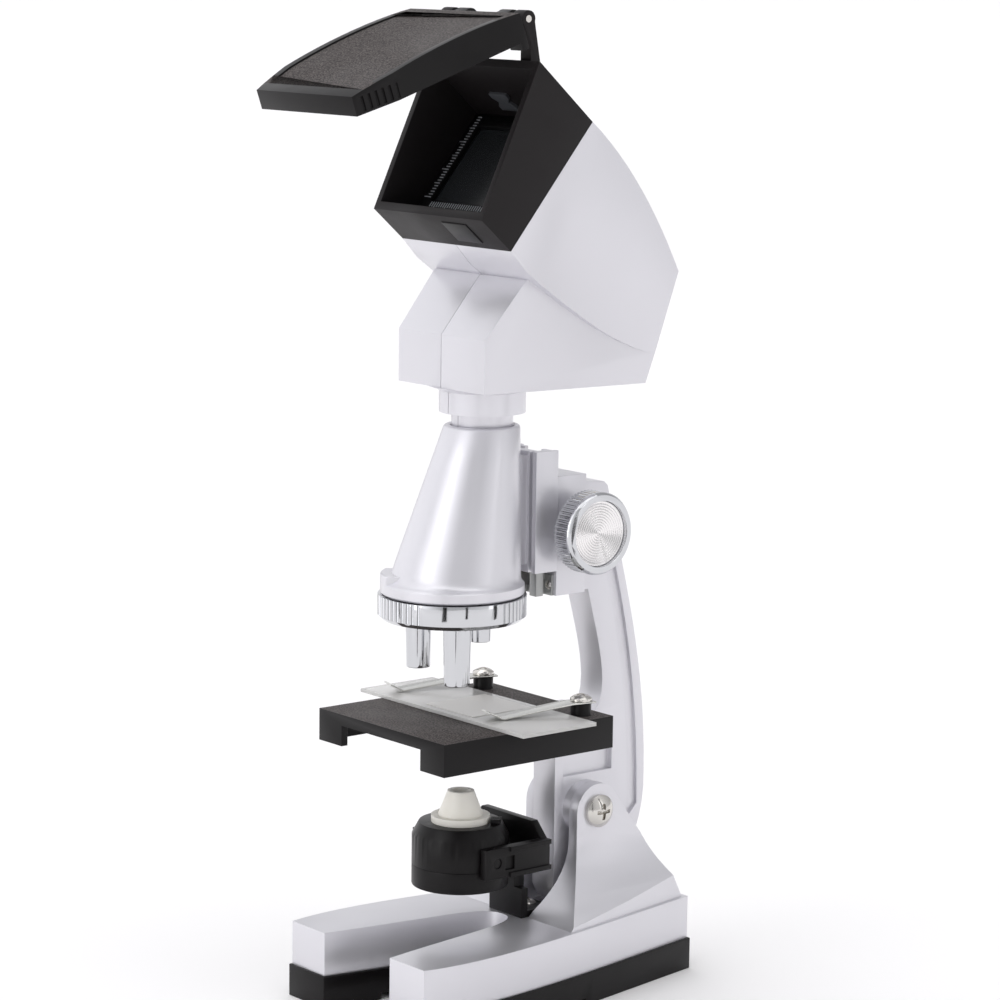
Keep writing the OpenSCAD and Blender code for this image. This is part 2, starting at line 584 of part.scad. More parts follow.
// A flat plate lying along the line from p to q, on the side of its left hand
module plate(half, p, q, t) {
    n = [-(q - p)[1], (q - p)[0]] / norm(q - p) * t;
    across(-half, half) polygon([p, q, q + n, p + n]);
}
module first_mirror() color("lightgray") plate(13, [-8, 196], [6, 210], 1.2);
module rear_mirror() color("lightgray") plate(18, [41.9, 193], [48.5, 210.8], 1.2);
module hood() color(black) difference() {
    union() {
        across(-view_half, view_half) polygon([hood_a, hood_d, hood_c, hood_b]);
        // Wedges that carry the lid hinge
        for (s = [-1, 1]) across(s > 0 ? 14 : -18.5, s > 0 ? 18.5 : -14) polygon(concat(
            [[0.9, 272], [0.9, hinge_z - 6.8]], rev(arc([0, hinge_z], 2.4, -20, 200, 10)),
            [hood_b + [6.2, -5.6]]));
    }
    across(-view_half + 2, view_half - 2) polygon([mix(hood_a, hood_b, 0.05) + [-4, 3],
        mix(hood_a, hood_b, 0.05), mix(hood_d, hood_c, 0.05), mix(hood_d, hood_c, 0.05) + [4, -3],
        mix(hood_d, hood_c, 0.95) + [4, -3], mix(hood_d, hood_c, 0.95),
        mix(hood_a, hood_b, 0.95), mix(hood_a, hood_b, 0.95) + [-4, 3]]);
    bar_x(1.05, -30, 30, 0, hinge_z, 32);
}
// Unit vectors along the hood's back edge and square to it, towards the opening
hood_along = (hood_c - hood_d) / norm(hood_c - hood_d);
hood_out = [-hood_along[1], hood_along[0]];
module screen() color("white") {
    p = mix(hood_d, hood_c, 0.055);
    q = mix(hood_d, hood_c, 0.945);
    plate(view_half - 2.05, p + hood_out * 0.2, q + hood_out * 0.2, 1.4);
}
module screen_frame() color("black") difference() {
    p = mix(hood_d, hood_c, 0.055) + hood_out * 1.6;
    q = mix(hood_d, hood_c, 0.945) + hood_out * 1.6;
    plate(view_half - 2.05, p, q, 1.6);
    plate(view_half - 6, p + hood_along * 9.5 - hood_out, q - hood_along * 4.2 - hood_out, 4);
}
module hinge_pin() color("silver") bar_x(1, -18.5, 18.5, 0, hinge_z, 32);

// ---- lid, modelled level with its hinge at the origin and then sloped ----
lid_u0 = 7.1;
lid_u1 = lid_u0 + lid_len;
lid_under = -3.6;
function lid_top_curve(n) = bez([-lid_u1, 2], [-50, 5.6], [-24, 6.6], [-lid_u0, 4.4], n);
// Outline from above, inset by d: the sides draw in towards the front
module lid_plan(d) translate([0, 0, -20]) linear_extrude(40) polygon([[-view_half + d, 0],
    [-view_half + d, -lid_u1 + 13], [-view_half + 2.7 + d, -lid_u1], [view_half - 2.7 - d, -lid_u1],
    [view_half - d, -lid_u1 + 13], [view_half - d, 0]]);
module lid() color(black) translate([0, 0, hinge_z]) rotate([lid_angle, 0, 0]) difference() {
    union() {
        intersection() {
            across(-30, 30) polygon(concat([[-lid_u0, lid_under], [-lid_u1, lid_under]],
                lid_top_curve(14)));
            lid_plan(0);
        }
        for (s = [-1, 1]) across(s > 0 ? 7 : -12, s > 0 ? 12 : -7) polygon(concat(
            [[-lid_u0 - 1, -1.5], [-lid_u0 - 1, 2.6]], rev(arc([0, 0], 2.4, -110, 110, 12))));
        // Ears that cover the gap beside the hinge
        for (s = [-1, 1]) translate([s > 0 ? 19.1 : -view_half, -lid_u0 - 2.3, -5.8])
            cube([view_half - 19.1, 2.3, 4]);
    }
    // Hollow underside and the shallow panel on top
    intersection() {
        translate([-30, -lid_u1 + 2.4, lid_under - 1]) cube([60, lid_len - 5, 3.6]);
        lid_plan(2.1);
    }
    intersection() {
        across(-30, 30) polygon(concat(
            [for (p = lid_top_curve(14)) if (p[0] > -lid_u1 + 3 && p[0] < -lid_u0 - 3) p - [0, 0.5]],
            [[-lid_u0 - 4, 12], [-lid_u1 + 4, 12]]));
        lid_plan(2.5);
    }
    bar_x(1 + e, -30, 30, 0, 0, 32);
    // Finger ribs where the sides draw in
    for (s = [-1, 1], k = [2.2:2.1:12.8])
        translate([s * (view_half - 2.7 + 2.7 * k / 13) - 0.35, -lid_u1 + k, lid_under + 0.7])
            cube([0.7, 0.9, 4.2]);
}

// ---- lamp ----
module lamp_housing() color(black) difference() {
    union() {
        bar_z(lamp_r, lamp_seam, 49.8, 0, lamp_y, 96);
        translate([0, lamp_y, 49.79]) cylinder(r1 = lamp_r, r2 = 12.2, h = lamp_top - 49.79, $fn = 96);
        bar_x(1.5, -fork_out + 0.3, -lamp_r + 1.5, lamp_y, lamp_z, 32);
        bar_x(1.5, lamp_r - 1.5, fork_out - 0.3, lamp_y, lamp_z, 32);
    }
    translate([0, lamp_y, lamp_seam - 1]) cylinder(r = lamp_r - 1.8, h = 8.6, $fn = 64);
    bar_z(7.2, 45, 60, 0, lamp_y);
    // Slot for the switch
    translate([0, lamp_y, 0]) rotate([0, 0, 45]) translate([9.2, -3.4, 48]) cube([2, 6.8, 7]);
}
module lamp_cap() color(black) difference() {
    bar_z(lamp_r, lamp_bottom, lamp_seam, 0, lamp_y, 96);
    bar_z(lamp_r - 1.8, lamp_bottom + 2.8, lamp_seam + 1, 0, lamp_y);
    bar_z(10.6, lamp_bottom - 1, lamp_bottom + 1.2, 0, lamp_y);
}
module reflector() color("lightgray") bar_z(10.5, lamp_bottom + 0.2, lamp_bottom + 1.2, 0, lamp_y);
module diffuser() color("ivory") difference() {
    union() {
        bar_z(8.6, lamp_top, 55.4, 0, lamp_y);
        translate([0, lamp_y, 55.39]) cylinder(r1 = 6.6, r2 = 3.9, h = 7.2);
        bar_z(7.1, 50.4, lamp_top + 0.1, 0, lamp_y);
    }
    translate([0, lamp_y, 50]) cylinder(r1 = 5.6, r2 = 2.8, h = 11.2);
    translate([0, lamp_y, 65.4]) sphere(r = 4, $fn = 32);
}
module bulb() color("lightyellow") translate([0, lamp_y, 0]) {
    bar_z(2.4, 49.6, 53);
    translate([0, 0, 53]) sphere(r = 2.4, $fn = 32);
    bar_z(2.9, 47.6, 49.7);
}
module coin_cells() color("silver") for (z = [41, 44.4]) bar_z(10, z, z + 3.2, 0, lamp_y);
module contact_spring() color("goldenrod") difference() {
    translate([0, lamp_y, lamp_bottom + 2.8]) cylinder(r1 = 6, r2 = 4, h = 3.4);
    translate([0, lamp_y, lamp_bottom + 2.7]) cylinder(r1 = 5.2, r2 = 3.2, h = 3.6);
}
module lamp_switch() color("darkslategray") translate([0, lamp_y, 0]) rotate([0, 0, 45]) {
    translate([9.3, -3.2, 51.8]) cube([1.8, 4, 2]);
    translate([9, -3.2, lamp_top + e]) cube([3, 4, 1]);
    for (i = [0:3]) translate([9, -3.1 + i * 1.1, lamp_top + e + 0.9]) cube([3, 0.5, 0.5]);
}

place() base_shell();
place() base_cover();
place() cover_screws();
place() tilt_screw();
place() tilt_nut();
place() lamp_bracket();
place() bracket_screw();
place() arm();
place() slide_guide();
place() guide_screws();
place() stage();
place() stage_screws();
place() clip_screws();
place() clip_left();
place() clip_right();
place() specimen_slide();
place() cover_slip();
place() body_tube();
place() carriage();
place() rack();
place() carriage_screws();
place() turret_screw();
place() detent_spring();
place() pinion_shaft();
place() pinion();
place() knob_left();
place() knob_right();
place() knob_disc_left();
place() knob_disc_right();
place() turret();
place() objective_short();
place() objective_medium();
place() objective_long();
place() objective_lenses();
place() shell_left();
place() shell_right();
place() shell_screws();
place() projection_lens();
place() lens_retainer();
place() first_mirror();
place() rear_mirror();
place() hood();
place() screen();
place() screen_frame();
place() hinge_pin();
place() lid();
place() lamp_housing();
place() lamp_cap();
place() diffuser();
place() bulb();
place() coin_cells();
place() contact_spring();
place() reflector();
place() lamp_switch();
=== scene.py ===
# %% [markdown]
# # A toy projection microscope
# A moulded and chrome-plated toy microscope stands on a white table. Every moving part is already
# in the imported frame. This lesson gives each piece its moulded edges and its finish, adds the small
# details that moulding tools leave, and lights it like a catalogue picture.

# %% Load the frame
import bpy
import json
import math
from mathutils import Matrix, Vector


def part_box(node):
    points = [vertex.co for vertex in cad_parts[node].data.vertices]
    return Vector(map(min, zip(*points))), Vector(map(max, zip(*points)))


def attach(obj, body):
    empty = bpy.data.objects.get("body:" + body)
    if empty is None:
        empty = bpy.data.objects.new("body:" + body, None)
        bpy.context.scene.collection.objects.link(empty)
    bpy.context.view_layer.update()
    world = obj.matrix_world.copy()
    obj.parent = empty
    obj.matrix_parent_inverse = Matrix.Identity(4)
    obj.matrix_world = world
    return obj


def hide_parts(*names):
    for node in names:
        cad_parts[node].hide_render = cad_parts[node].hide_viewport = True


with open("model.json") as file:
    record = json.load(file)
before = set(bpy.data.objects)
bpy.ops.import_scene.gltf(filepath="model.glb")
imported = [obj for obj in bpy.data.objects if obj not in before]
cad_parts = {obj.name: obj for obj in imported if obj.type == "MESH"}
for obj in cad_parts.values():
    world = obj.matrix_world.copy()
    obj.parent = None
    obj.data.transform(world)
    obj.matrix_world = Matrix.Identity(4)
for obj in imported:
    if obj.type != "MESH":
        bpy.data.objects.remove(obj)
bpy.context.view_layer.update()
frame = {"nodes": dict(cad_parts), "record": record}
scene = bpy.context.scene
MM = 0.001
body_of_node = {n: b for b, ns in frame["record"]["behaviour"]["bodies"].items() for n in ns}

# %% [markdown]
# ## The camera
# The instrument is seen from its right front, from just above its own height, through a long lens
# about a metre away, so its upright edges stay nearly parallel. The direction is kept as three
# angles, which read more easily than a matrix, and the matrix is built from them once.

# %% Camera
AZIMUTH, ELEVATION, ROLL = math.radians(49.67), math.radians(9.42), math.radians(0.88)
back = Vector((math.sin(AZIMUTH) * math.cos(ELEVATION), -math.cos(AZIMUTH) * math.cos(ELEVATION),
               math.sin(ELEVATION)))
right = Vector((math.cos(AZIMUTH), math.sin(AZIMUTH), 0))
up = back.cross(right)
camera_data = bpy.data.cameras.new("camera")
camera_data.lens = 124.18
camera_data.shift_x, camera_data.shift_y = -0.0569, 0.0109
camera_data.clip_start, camera_data.clip_end = 0.05, 20
camera = bpy.data.objects.new("camera", camera_data)
scene.collection.objects.link(camera)
turned_right = right * math.cos(ROLL) + up * math.sin(ROLL)
turned_up = up * math.cos(ROLL) - right * math.sin(ROLL)
camera.matrix_world = (Matrix.Translation(Vector((762.4, -621.3, 307.5)) * MM)
                       @ Matrix((turned_right, turned_up, back)).transposed().to_4x4())
scene.camera = camera
print("camera at", tuple(round(c, 3) for c in camera.location))

# %% [markdown]
# ## Small helpers
# Colours are written as the hex values a paint program shows, and Blender wants linear light, so
# one function turns one into the other. Another adds a shader node with its settings and links.

# %% Colour and node helpers
def linear(hex_colour):
    """The linear colour, fully opaque, of a hex value."""
    channels = [int(hex_colour[i:i + 2], 16) / 255 for i in (1, 3, 5)]
    return (*[c / 12.92 if c <= 0.04045 else ((c + 0.055) / 1.055) ** 2.4 for c in channels], 1.0)


def add_node(owner, kind, inputs=None, **settings):
    """A shader node of a material or world; inputs are values or (node, socket) pairs."""
    tree = owner.node_tree
    made = tree.nodes.new(kind)
    for key, value in settings.items():
        setattr(made, key, value)
    for key, value in (inputs or {}).items():
        if isinstance(value, tuple) and isinstance(value[0], bpy.types.Node):
            tree.links.new(value[0].outputs[value[1]], made.inputs[key])
        else:
            made.inputs[key].default_value = value
    return made


def new_material(name, **inputs):
    """A Principled material, with spaces in socket names written as underscores."""
    material = bpy.data.materials.new(name)
    material.use_nodes = True
    shader = material.node_tree.nodes["Principled BSDF"]
    for key, value in inputs.items():
        shader.inputs[key.replace("_", " ")].default_value = value
    return material, shader


def link(owner, source, socket, target, target_socket):
    owner.node_tree.links.new(source.outputs[socket], target.inputs[target_socket])


def noise(material, where, size_mm, detail):
    """Noise on Object coordinates whose blobs are about size_mm apart."""
    return add_node(material, "ShaderNodeTexNoise", {"Vector": (where, "Object"),
                    "Scale": 1000.0 / size_mm, "Detail": detail})


def grain(material, shader, size_mm, depth_mm, detail=2.0):
    """A fine bump; returns the coordinates node, for other nodes to share."""
    where = add_node(material, "ShaderNodeTexCoord")
    bump = add_node(material, "ShaderNodeBump", {
        "Height": (noise(material, where, size_mm, detail), "Fac"), "Distance": depth_mm * MM})
    link(material, bump, "Normal", shader, "Normal")
    return where


def vary(material, shader, where, target, size_mm, low, high):
    """Lets a value drift between low and high over patches of about size_mm."""
    spread = add_node(material, "ShaderNodeMapRange", {
        "Value": (noise(material, where, size_mm, 3.0), "Fac"),
        "From Min": 0.35, "From Max": 0.65, "To Min": low, "To Max": high})
    link(material, spread, "Result", shader, target)


def plain(name, bump_mm, depth_mm, **inputs):
    """A Principled material with one fine bump and nothing else that varies."""
    material, shader = new_material(name, **inputs)
    grain(material, shader, bump_mm, depth_mm)
    return material

# %% [markdown]
# ## Finishes
# Satin silver is ABS plastic sprayed with an aluminium-flake lacquer: part metal and part binder,
# so it is set half metallic with a soft highlight, and a flake bump coarser than the real flakes
# so that it can be seen at all.

# %% Silver lacquer on ABS
def silver_lacquer(name, colour="#DBDADF", rough=0.34):
    material, shader = new_material(name, Base_Color=linear(colour), Metallic=0.62, Roughness=rough,
                                    Coat_Weight=0.12, Coat_Roughness=0.25)
    where = grain(material, shader, size_mm=0.45, depth_mm=0.004)
    vary(material, shader, where, "Roughness", 24, rough - 0.03, rough + 0.04)
    return material


silver = silver_lacquer("silver lacquered abs")
grey = silver_lacquer("grey lacquered abs", "#A9AAA9", 0.4)
print("made", silver.name, grey.name)

# %% [markdown]
# Chrome on plastic is a mirror skin a few hundredths of a millimetre thick. It follows every ripple
# of the plastic under it, so its reflections wobble: a broad, very shallow bump gives that. Nickel
# on the screws is a little warmer and duller, rolled spring steel is streaky and soft, cut brass
# shows as a warm gold rack, and the spun discs in the knobs catch the light in rings.

# %% Chrome plate, nickel plate and steel
def plated(name, colour, rough, ripple_mm, depth_mm):
    material, shader = new_material(name, Base_Color=linear(colour), Metallic=1.0, Roughness=rough)
    where = grain(material, shader, ripple_mm, depth_mm, detail=1.0)
    vary(material, shader, where, "Roughness", 9, max(rough - 0.03, 0.02), rough + 0.05)
    return material


chrome = plated("chrome plated abs", "#CDCED1", 0.06, 8.0, 0.02)
nickel = plated("nickel plated steel", "#D3D0CB", 0.16, 1.5, 0.006)
spring_steel = plated("rolled spring steel", "#CFCFCB", 0.2, 3.0, 0.012)
brass = plated("machined brass", "#C9A45C", 0.28, 1.0, 0.006)
spun = plated("spun aluminium", "#F0EEEE", 0.24, 0.7, 0.004)
mirror = plated("front surface mirror", "#EEF0F2", 0.02, 20.0, 0.001)
print("made", [m.name for m in (chrome, nickel, spring_steel, brass, spun, mirror)])

# %% [markdown]
# The black parts are carbon-black ABS. Polished steel moulds leave it satin, and a spark-eroded
# mould face leaves a sandy texture, which the stage and the lid panel have so that slides and
# fingers don't slip.

# %% Black mouldings
def black_abs(name, colour, rough, bump_mm, depth_mm):
    material, shader = new_material(name, Base_Color=linear(colour), Roughness=rough,
                                    Specular_IOR_Level=0.2)
    where = grain(material, shader, bump_mm, depth_mm)
    vary(material, shader, where, "Roughness", 18, rough - 0.05, rough + 0.06)
    return material


black = black_abs("satin black abs", "#100E0F", 0.33, 0.5, 0.006)
black_fine = black_abs("fine textured black abs", "#1D1A1B", 0.5, 0.4, 0.02)
SAND_DARK, SAND_LIGHT = "#2A2626", "#5C5654"
black_sand = black_abs("spark textured black abs", SAND_DARK, 0.6, 0.55, 0.08)
black_matt = black_abs("matt black abs", "#0B0B0C", 0.5, 0.6, 0.01)


def speckle(material, size_mm, dark, light):
    """Sandy spots, drawn a little coarser than the real spark craters so that they show."""
    where = add_node(material, "ShaderNodeTexCoord")
    tone = add_node(material, "ShaderNodeValToRGB",
                    {"Fac": (noise(material, where, size_mm, 1.0), "Fac")})
    low, high = tone.color_ramp.elements
    low.position, low.color = 0.38, linear(dark)
    high.position, high.color = 0.64, linear(light)
    link(material, tone, "Color", material.node_tree.nodes["Principled BSDF"], "Base Color")


speckle(black_sand, 0.5, SAND_DARK, SAND_LIGHT)
print("made", black.name, black_sand.name, black_matt.name)

# %% [markdown]
# Two greys are for the small mouldings in the dark well of the hood. They are set lighter than the
# hood's black, so that the eye finds the ticks and the clip.

# %% Greys for the small mouldings
tick_grey = plain("moulded tick grey", 0.5, 0.01, Base_Color=linear("#A9ACB0"), Roughness=0.5)
clip_grey = plain("moulded clip grey", 0.5, 0.01, Base_Color=linear("#4C4E52"), Roughness=0.4)
print("made", tick_grey.name, clip_grey.name)

# %% [markdown]
# The lamp's cone is milky polypropylene, which light enters and spreads through. The slide is
# clear plastic with a frosted face, and the cover slip is whitish from the mount under it. The
# lenses are glass that is almost lost to the eye, the bulb is clear epoxy with a bright rim, and
# the viewing screen is smoky acrylic with a satin front.

# %% Milky, clear and smoky plastics
milky = plain("milky polypropylene", 0.8, 0.006, Base_Color=linear("#F6F2E8"), Roughness=0.38,
              Subsurface_Weight=0.3, Subsurface_Scale=0.003, Subsurface_Radius=(1.0, 0.96, 0.9))
clear = plain("frosted slide plastic", 2.5, 0.01, Base_Color=linear("#F1F0EE"), Roughness=0.2,
              Transmission_Weight=0.5, IOR=1.49)
cover_glass = plain("cover glass", 8, 0.004, Base_Color=linear("#FAFBFB"), Roughness=0.04,
                    Transmission_Weight=0.95, IOR=1.52)
mounted = plain("cover slip with its mount", 2.5, 0.008, Base_Color=linear("#EFECE8"),
                Roughness=0.22, Transmission_Weight=0.35, IOR=1.5)
smoky = plain("smoky acrylic", 5, 0.006, Base_Color=linear("#26282A"), Roughness=0.22, IOR=1.49)
epoxy = plain("clear epoxy", 2, 0.004, Base_Color=linear("#F6F2DA"), Roughness=0.1,
              Transmission_Weight=0.5, IOR=1.54)
print("made", [m.name for m in (milky, clear, cover_glass, mounted, smoky, epoxy)])

# %% [markdown]
# ## Softened edges
# No moulded or plated edge is truly sharp, and the bright line along a rounded edge is most of what
# makes plastic look like plastic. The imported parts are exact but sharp, so each one is copied, its
# loose triangles are merged and flattened into faces, and every edge is rounded by a small bevel.

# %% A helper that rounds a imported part
def only(piece):
    """Makes piece the one selected and active object."""
    if bpy.context.object and bpy.context.object.mode != "OBJECT":
        bpy.ops.object.mode_set(mode="OBJECT")
    bpy.ops.object.select_all(action="DESELECT")
    piece.select_set(True)
    bpy.context.view_layer.objects.active = piece


def apply_all(piece):
    only(piece)
    for modifier in list(piece.modifiers):
        bpy.ops.object.modifier_apply(modifier=modifier.name)


SHARP = 35  # degrees between two faces from which their edge is rounded


def round_edges(piece, radius_mm, segments=3):
    bevel = piece.modifiers.new("edge", "BEVEL")
    bevel.width, bevel.segments = radius_mm * MM, segments
    bevel.limit_method, bevel.angle_limit = "ANGLE", math.radians(SHARP)
    apply_all(piece)


def shade(piece, material, sharp=SHARP):
    """Smooth shading up to an angle, and one material."""
    only(piece)
    bpy.ops.object.shade_smooth_by_angle(angle=math.radians(sharp))
    piece.data.materials.clear()
    piece.data.materials.append(material)


MERGE, FLAT = 0.00001, 0.4  # metres between doubles, and degrees between faces that are one


def soften(node, material, radius_mm):
    """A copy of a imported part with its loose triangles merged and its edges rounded."""
    piece = bpy.data.objects.new("soft_" + node, frame["nodes"][node].data.copy())
    scene.collection.objects.link(piece)
    only(piece)
    bpy.ops.object.mode_set(mode="EDIT")
    bpy.ops.mesh.select_all(action="SELECT")
    bpy.ops.mesh.remove_doubles(threshold=MERGE)
    bpy.ops.mesh.dissolve_limited(angle_limit=math.radians(FLAT))
    bpy.ops.object.mode_set(mode="OBJECT")
    round_edges(piece, radius_mm)
    shade(piece, material)
    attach(piece, body_of_node[node])
    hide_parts(node)
    return piece

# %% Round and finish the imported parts
SOFTENED = [  # node, finish, and edge radius in mm
    ("base_shell", silver, 0.9), ("base_cover", black, 0.5), ("arm", silver, 0.45),
    ("slide_guide", grey, 0.2), ("carriage", silver, 0.3), ("stage", black, 0.45),
    ("shell_left", silver, 0.7), ("shell_right", silver, 0.7), ("hood", black_fine, 0.4),
    ("lid", black, 0.5), ("lamp_housing", black, 0.35), ("lamp_cap", black, 0.35),
    ("lamp_bracket", black, 0.35), ("lamp_switch", black, 0.12), ("turret", chrome, 0.25),
    ("objective_short", chrome, 0.2), ("objective_medium", chrome, 0.2),
    ("objective_long", chrome, 0.2), ("knob_left", chrome, 0.15), ("knob_right", chrome, 0.15),
    ("tilt_screw", nickel, 0.12), ("clip_screws", nickel, 0.1), ("tilt_nut", nickel, 0.15),
    ("clip_left", spring_steel, 0.08), ("clip_right", spring_steel, 0.08),
    ("specimen_slide", clear, 0.12), ("lens_retainer", black, 0.1),
    ("screen_frame", black_matt, 0.25),
]
softened = {node: soften(node, material, radius) for node, material, radius in SOFTENED}
print("softened", len(softened), "parts,",
      sum(len(piece.data.polygons) for piece in softened.values()), "faces")

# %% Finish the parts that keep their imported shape
KEPT = {
    nickel: ["cover_screws", "bracket_screw", "guide_screws", "stage_screws", "carriage_screws",
             "turret_screw", "shell_screws", "hinge_pin", "pinion_shaft", "coin_cells"],
    spring_steel: ["detent_spring"], brass: ["pinion", "rack", "contact_spring"],
    mirror: ["first_mirror", "rear_mirror", "reflector"], smoky: ["screen"], epoxy: ["bulb"],
    cover_glass: ["projection_lens", "objective_lenses"], mounted: ["cover_slip"],
    milky: ["diffuser"],
}
for finish, nodes in KEPT.items():
    for node in nodes:
        frame["nodes"][node].data.materials.clear()
        frame["nodes"][node].data.materials.append(finish)
print("kept", sum(len(nodes) for nodes in KEPT.values()), "packed shapes")

# %% [markdown]
# ## The body tube
# The tube is a moulded cone that leans forward as it widens, because the turret's axis stands in
# front of the optical axis, and it ends in a concave bell above a flat flange. A cone that leans
# can't be turned on a lathe, so it is lofted: one circle is extruded upwards ring by ring, and
# each new ring is moved and resized. The same helper serves for anything with round sections.

# %% A helper that lofts rings
def loft(name, rings, axis="Z", count=96):
    """Joins circles given as (centre in mm, radius in mm), starting and ending with a cap."""
    (first, radius), rest = rings[0], rings[1:]
    bpy.ops.object.select_all(action="DESELECT")
    turn = (0, math.radians(90), 0) if axis == "X" else (0, 0, 0)
    bpy.ops.mesh.primitive_circle_add(vertices=count, radius=radius * MM, fill_type="NOTHING",
                                      location=Vector(first) * MM, rotation=turn)
    piece = bpy.context.object
    piece.name = name
    bpy.ops.object.transform_apply(location=True, rotation=True, scale=True)
    bpy.ops.object.mode_set(mode="EDIT")
    bpy.ops.mesh.select_all(action="SELECT")
    bpy.ops.mesh.edge_face_add()
    at, size = Vector(first), radius
    for centre, radius in rest:
        bpy.ops.mesh.extrude_region_move(
            TRANSFORM_OT_translate={"value": (Vector(centre) - at) * MM})
        grow = radius / size
        bpy.ops.transform.resize(value=(grow, grow, grow), center_override=Vector(centre) * MM)
        at, size = Vector(centre), radius
    bpy.ops.mesh.select_all(action="SELECT")
    bpy.ops.mesh.remove_doubles(threshold=0.000001)
    bpy.ops.mesh.normals_make_consistent(inside=False)
    bpy.ops.object.mode_set(mode="OBJECT")
    return piece


def box_piece(name, low, high):
    """A block between two corners in millimetres, to be shaped further."""
    bpy.ops.object.select_all(action="DESELECT")
    size = [b - a for a, b in zip(low, high)]
    bpy.ops.mesh.primitive_cube_add(size=1, location=[(a + b) / 2 * MM for a, b in zip(low, high)],
                                    scale=[v * MM for v in size])
    piece = bpy.context.object
    piece.name = name
    bpy.ops.object.transform_apply(location=True, rotation=True, scale=True)
    return piece


def combine(piece, tool, operation="UNION"):
    """Joins piece to tool, or keeps only what they share, and uses the tool up."""
    modifier = piece.modifiers.new("combine", "BOOLEAN")
    modifier.operation, modifier.object, modifier.solver = operation, tool, "EXACT"
    apply_all(piece)
    bpy.data.objects.remove(tool)


def finish_piece(piece, body, material, nodes=(), sharp=SHARP):
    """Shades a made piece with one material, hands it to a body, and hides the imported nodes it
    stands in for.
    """
    shade(piece, material, sharp)
    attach(piece, body)
    if nodes:
        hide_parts(*nodes)

# %% Loft the tube and its bell
def box_mm(node):
    """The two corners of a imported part's box, in millimetres."""
    return [corner * 1000 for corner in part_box(node)]


TURRET_FORWARD = 10.35  # from the optical axis to the turret's axis
LEAN = 8.2  # how far the cone's foot stands in front of its top
BELL_TOP = 131  # where the concave bell ends and the straight cone starts
CONE_FOOT, CONE_LOSS = 18, 7  # radius at the foot of the cone, and what it loses up to the top

_low, _high = box_mm("body_tube")
_turret_low, _turret_high = box_mm("turret")
_flange_y = (_turret_low.y + _turret_high.y) / 2
_axis_y = _flange_y + TURRET_FORWARD


def cone_y(z):
    return _axis_y - LEAN * (_high.z - z) / (_high.z - BELL_TOP)


TUBE = [(_low.z, _flange_y, 20.3), (_low.z + 0.5, _flange_y, 20.8), (_low.z + 2.9, _flange_y, 20.8),
        (124.9, _flange_y + 0.05, 20.45), (125.15, _flange_y + 0.3, 19.95),
        (125.5, _flange_y + 0.6, 19.5), (126.1, _flange_y + 0.95, 19.05),
        (127.1, _flange_y + 1.3, 18.68), (128.6, _flange_y + 1.66, 18.36)]
TUBE += [(z, cone_y(z), CONE_FOOT - CONE_LOSS * (z - BELL_TOP) / (_high.z - BELL_TOP))
         for z in (BELL_TOP, 140, 150, 160, 168.9)]
TUBE += [(169.4, cone_y(169.4), 10.8), (_high.z, _axis_y, 10.4), (_high.z, _axis_y, 9.6),
         (169.2, _axis_y, 9.2), (BELL_TOP, _axis_y - LEAN, 16.2), (124.2, _flange_y + 1.7, 16.6)]
ROUND = 128  # sides of a large circle, enough that none can be counted
tube = loft("soft_body_tube", [((0, y, z), r) for z, y, r in TUBE], count=ROUND)
print("tube rings", len(TUBE), "faces", len(tube.data.polygons))

# %% The index pad and the rib behind the tube
pad = loft("pad", [((0, _flange_y, 122.6), 20.8), ((0, _flange_y, 127.0), 20.8),
                   ((0, _flange_y, 127.4), 20.3)], count=ROUND)
cutter = box_piece("cutter", (-7, -7, 118), (7, 7, 132))
cutter.matrix_world = (Matrix.Translation(Vector((-12, _flange_y - 16, 0)) * MM)
                       @ Matrix.Rotation(math.radians(40), 4, "Z"))
combine(pad, cutter, "INTERSECT")
round_edges(pad, 0.3)
combine(tube, pad)
combine(tube, box_piece("rib", (-4.5, _axis_y + 6, 128), (4.5, _axis_y + 13.4, 160)))
finish_piece(tube, "tube", silver, ["body_tube"], sharp=28)
print("tube faces", len(tube.data.polygons))

# %% [markdown]
# ## Spun discs in the knobs
# The face of each focus knob is a thin aluminium disc that a tool has cut in rings. The rings are
# under a millimetre apart and catch the light one by one, so they are real grooves here, lofted
# from the rim in to the centre like ripples.

# %% Ringed discs
DISC_RINGS = 12


def ringed_disc(node, side):
    """A knob's disc; side is 1 where its face looks along +X and -1 where it looks along -X."""
    low, high = box_mm(node)
    centre_y, centre_z = (low.y + high.y) / 2, (low.z + high.z) / 2
    face, back_face = (high.x, low.x) if side > 0 else (low.x, high.x)
    edge = (high.y - low.y) / 2
    rings = [(back_face, edge), (face - side * 0.1, edge), (face, edge - 0.12)]
    for k in range(DISC_RINGS):
        radius = (edge - 0.4) * (1 - k / DISC_RINGS)
        rings += [(face, radius), (face - side * 0.3, radius - 0.4), (face, radius - 0.7)]
    rings = [((x, centre_y, centre_z), max(r, 0.05)) for x, r in rings]
    disc = loft("soft_" + node, rings, axis="X")
    only(disc)
    bpy.ops.object.mode_set(mode="EDIT")
    bpy.ops.mesh.select_all(action="DESELECT")
    bpy.ops.mesh.select_non_manifold()
    bpy.ops.mesh.edge_face_add()
    bpy.ops.mesh.select_all(action="SELECT")
    bpy.ops.mesh.normals_make_consistent(inside=False)
    bpy.ops.object.mode_set(mode="OBJECT")
    finish_piece(disc, "focus", spun, [node], sharp=60)


ringed_disc("knob_disc_right", 1)
ringed_disc("knob_disc_left", -1)
print("discs made")

# %% [markdown]
# ## Sandy panels
# The panel of the lid and the top of the stage were spark eroded in the mould, while their borders
# and sides were polished. Each is one moulding, so it stays one piece, and only some faces take
# the sandy finish.

